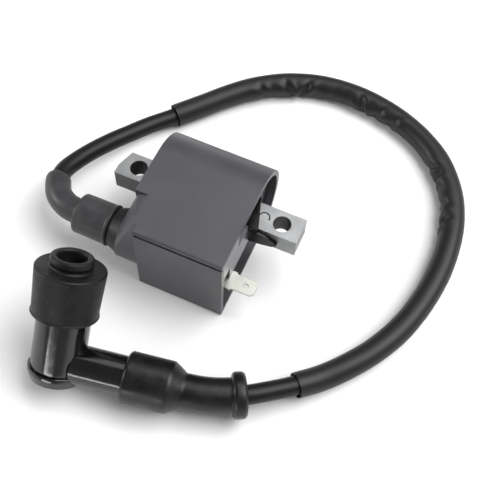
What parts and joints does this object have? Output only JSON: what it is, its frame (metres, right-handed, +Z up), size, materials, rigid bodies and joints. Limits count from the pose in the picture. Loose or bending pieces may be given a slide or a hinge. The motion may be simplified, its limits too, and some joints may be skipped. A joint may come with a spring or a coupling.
{
  "type": "small-engine ignition coil with plug cap",
  "caption": "Potted ignition coil in a rounded case on a drilled steel bar, with a sleeved high-tension lead, elbow plug cap and pull-off rubber seal.",
  "frame": {"origin": "on the base plane, under the middle of the coil's core bar", "axes": "+Z up, parallel to the mounting holes; +X along the core bar to the open terminal end; +Y to the case's round back"},
  "size_m": [0.1551, 0.1732, 0.0462],
  "materials": {
    "case_plastic": "satin moulded",
    "core_steel": "pale rolled silicon steel, matt",
    "bobbin_plastic": "moulded",
    "copper_wire": "enamelled",
    "resin": "cast epoxy",
    "plate_plastic": "glossy moulded",
    "tinned_metal": "bright tin plate",
    "brass": "machined",
    "boot_rubber": "moulded, matt",
    "lead_jacket": "extruded, semi-gloss",
    "sleeve_vinyl": "soft vinyl tube",
    "cap_phenolic": "pressed phenolic, glossy",
    "spring_steel": "bright wire",
    "ceramic": "fired, unglazed"
  },
  "bodies": {
    "coil": {"coil_case": "case_plastic", "core_bar": "core_steel", "primary_bobbin": "bobbin_plastic", "primary_winding": "copper_wire", "secondary_bobbin": "bobbin_plastic", "secondary_winding": "copper_wire", "potting_resin": "resin", "terminal_plate": "plate_plastic", "primary_tab": "tinned_metal", "primary_lead_wire": "copper_wire", "ground_strap": "tinned_metal", "tower_insert": "resin", "tower_spike": "brass", "high_tension_link": "copper_wire", "tower_boot": "boot_rubber", "high_tension_lead": "lead_jacket", "lead_sleeve": "sleeve_vinyl", "cap_boot": "boot_rubber"},
    "cap": {"cap_body": "cap_phenolic", "cap_base": "cap_phenolic", "cap_screw": "brass", "contact_spring": "spring_steel", "suppressor_resistor": "ceramic", "plug_socket": "brass", "socket_clip": "spring_steel"},
    "seal": {"plug_seal": "boot_rubber"}
  },
  "joints": [
    {"name": "cap_turn", "type": "hinge", "parent": "coil", "child": "cap", "pos_m": [-0.02432, -0.06987, 0.01252], "axis": [0.9827, 0.1804, -0.0419], "range_deg": [-15, 90]},
    {"name": "seal_pull", "type": "slide", "parent": "cap", "child": "seal", "axis": [-0.0845, 0.638, 0.7654], "range_m": [0, 0.016]}
  ]
}
